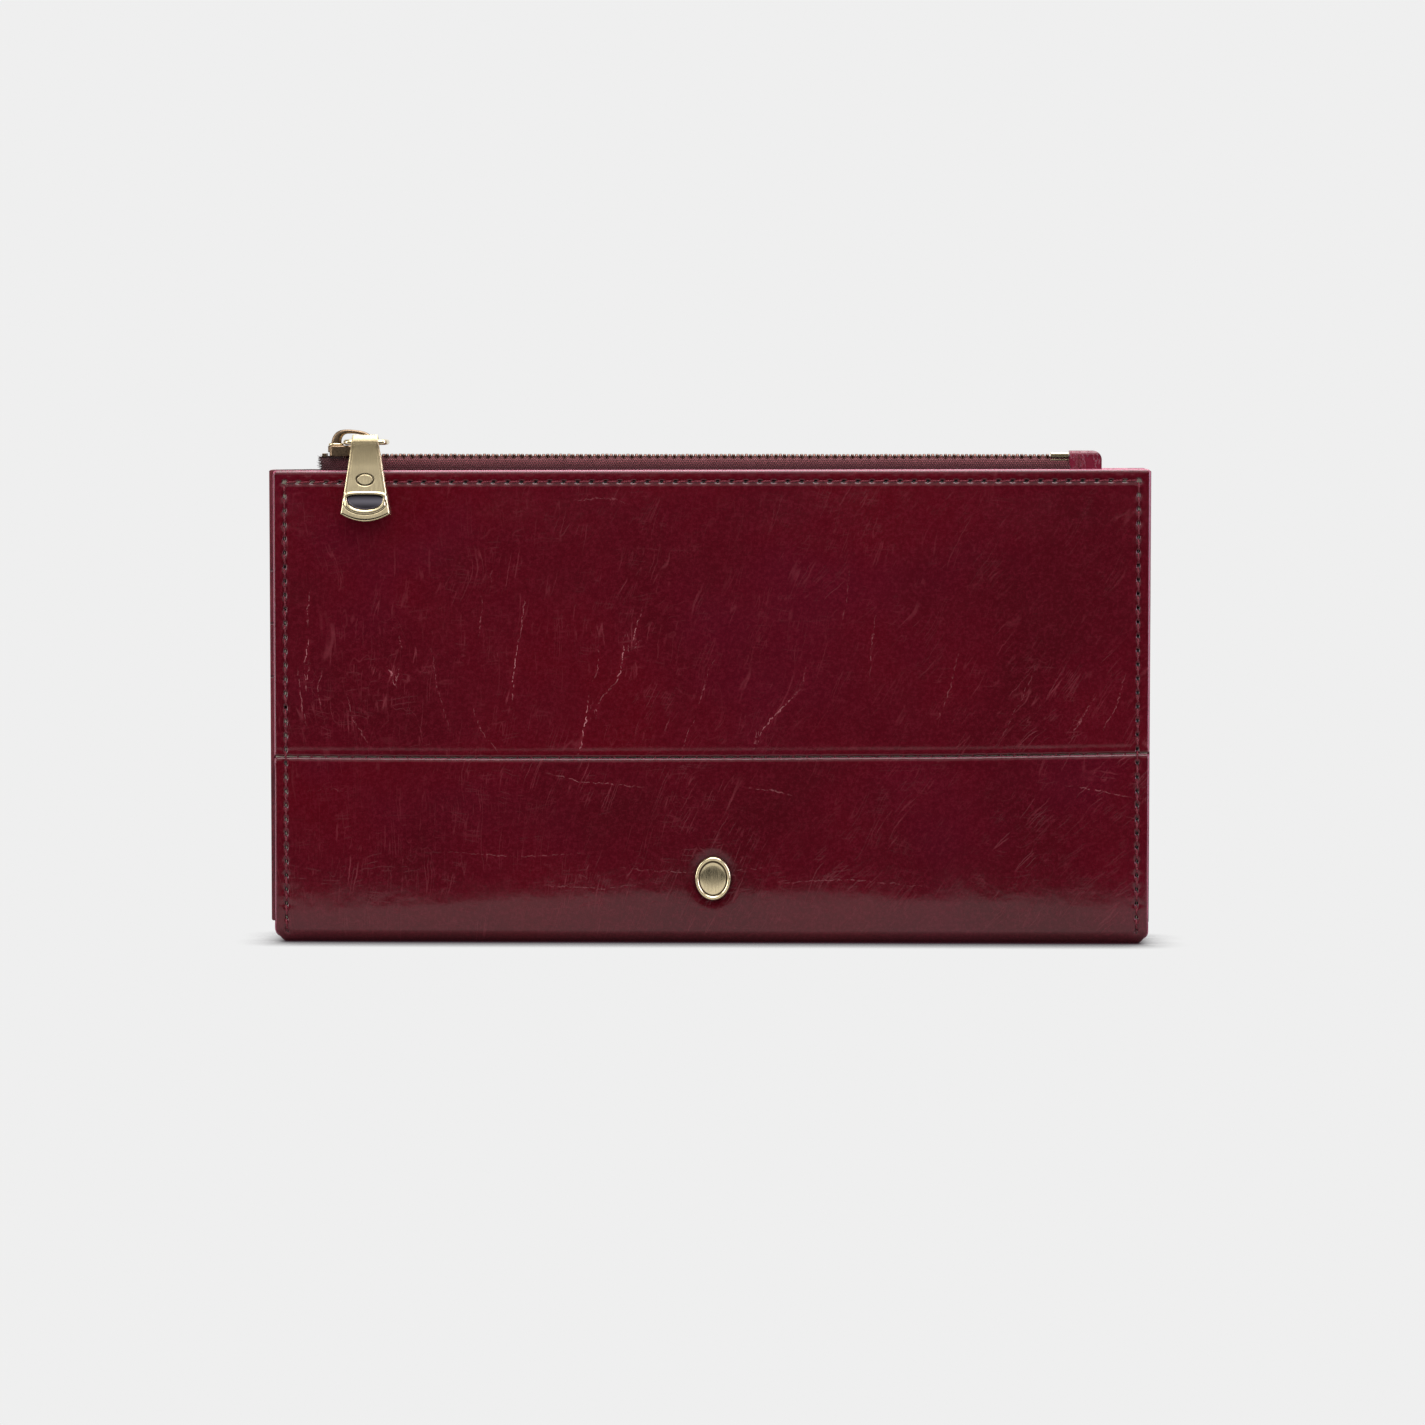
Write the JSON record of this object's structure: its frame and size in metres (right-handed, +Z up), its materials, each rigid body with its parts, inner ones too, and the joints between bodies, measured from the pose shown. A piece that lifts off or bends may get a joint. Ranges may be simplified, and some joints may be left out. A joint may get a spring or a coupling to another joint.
{
  "type": "long zip wallet",
  "caption": "Long bifold leather wallet standing on its folded edge, with a zipped coin pocket in the front half, a hanging zip pull and a hinged rear cover with card slots.",
  "frame": {"origin": "centre of the flat underside of the folded spine, which the wallet stands on", "axes": "+X along the width towards the end stop of the zip, +Y from the front cover to the rear cover, +Z up towards the zip"},
  "size_m": [0.1979, 0.0197, 0.1156],
  "materials": {
    "outer_leather": "polished, glossy, finely creased",
    "inner_leather": "smooth satin",
    "thread": "waxed twisted thread",
    "antique_brass": "brushed antique",
    "dark_brass": "dark antique",
    "snap_metal": "satin",
    "zip_tape": "woven matt",
    "board": "matt fibreboard",
    "lining_fabric": "woven matt"
  },
  "bodies": {
    "front_half": {"front_upper_leather": "outer_leather", "lower_leather_wrap": "outer_leather", "front_board": "board", "front_pocket_lining": "lining_fabric", "middle_wall_leather": "outer_leather", "rear_pocket_lining": "lining_fabric", "spine_lining": "lining_fabric", "front_perimeter_thread": "thread", "front_seam_thread": "thread", "badge": "antique_brass", "badge_backing": "snap_metal", "zip_tape_front": "zip_tape", "zip_tape_rear": "zip_tape", "zip_teeth_front": "dark_brass", "zip_teeth_rear": "dark_brass", "zip_bottom_stop": "antique_brass", "zip_top_stops": "dark_brass", "zip_end_tab": "outer_leather", "zip_end_tab_thread": "thread", "mid_card_slot_upper": "inner_leather", "mid_card_slot_middle": "inner_leather", "mid_card_slot_lower": "inner_leather", "mid_card_divider_thread": "thread", "snap_studs": "snap_metal", "snap_stud_rivets": "snap_metal"},
    "slider": {"slider_body": "antique_brass", "slider_bridge": "antique_brass"},
    "pull_link": {"pull_link": "antique_brass"},
    "zip_pull": {"zip_pull": "antique_brass"},
    "back_cover": {"back_upper_leather": "outer_leather", "back_lower_leather": "outer_leather", "back_board": "board", "back_lining": "inner_leather", "back_card_panel": "inner_leather", "back_card_slot_upper": "inner_leather", "back_card_slot_middle": "inner_leather", "back_card_slot_lower": "inner_leather", "back_card_divider_thread": "thread", "snap_sockets": "snap_metal", "back_perimeter_thread": "thread", "back_seam_thread": "thread"}
  },
  "joints": [
    {"name": "back_cover_open", "type": "hinge", "parent": "front_half", "child": "back_cover", "pos_m": [0, 0.00825, 0.003], "axis": [-1, 0, 0], "range_deg": [0, 180]},
    {"name": "slider_slide", "type": "slide", "parent": "front_half", "child": "slider", "axis": [1, 0, 0], "range_m": [0, 0.151], "deforming": ["zip_teeth_front", "zip_teeth_rear", "zip_tape_front", "zip_tape_rear"]},
    {"name": "link_swing", "type": "hinge", "parent": "slider", "child": "pull_link", "pos_m": [-0.0774, -0.0021, 0.11275], "axis": [-1, 0, 0], "range_deg": [0, 24]},
    {"name": "pull_swing", "type": "hinge", "parent": "pull_link", "child": "zip_pull", "pos_m": [-0.0774, -0.0088, 0.11275], "axis": [-1, 0, 0], "range_deg": [0, 165]}
  ]
}
